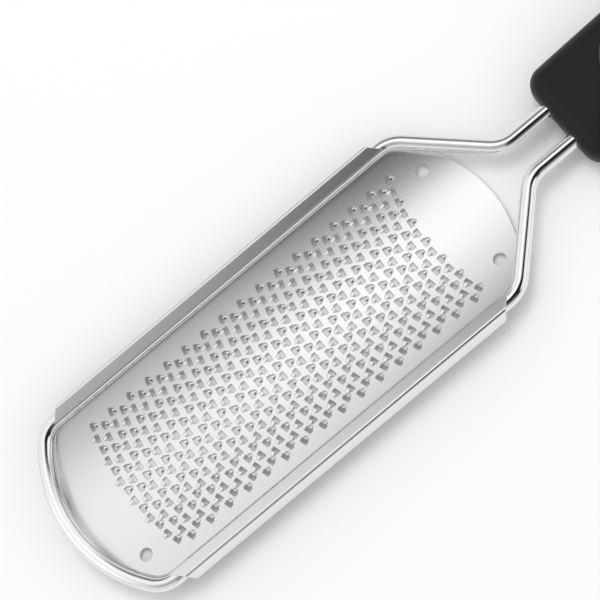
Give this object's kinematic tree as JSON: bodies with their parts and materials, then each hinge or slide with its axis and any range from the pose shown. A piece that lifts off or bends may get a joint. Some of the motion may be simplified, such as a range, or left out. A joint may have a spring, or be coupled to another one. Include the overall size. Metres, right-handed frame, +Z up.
{
  "type": "foot scraper",
  "caption": "Foot scraper: a toothed, trough-shaped steel sheet folded round the sides of a bent wire frame, with a moulded handle and a soft thumb pad.",
  "frame": {"origin": "the middle of the tool's length and width, on the plane that it lies on", "axes": "+X from the tip to the end of the handle, +Y across, +Z up, out of the rasping face"},
  "size_m": [0.263, 0.0568, 0.018],
  "materials": {
    "wire": "polished stainless steel",
    "sheet": "bright stainless steel, satin",
    "handle": "matte black",
    "pad": "soft dark grey"
  },
  "bodies": {
    "root": {"wire_frame": "wire", "rasp_sheet": "sheet", "handle": "handle", "thumb_pad": "pad"}
  },
  "joints": []
}
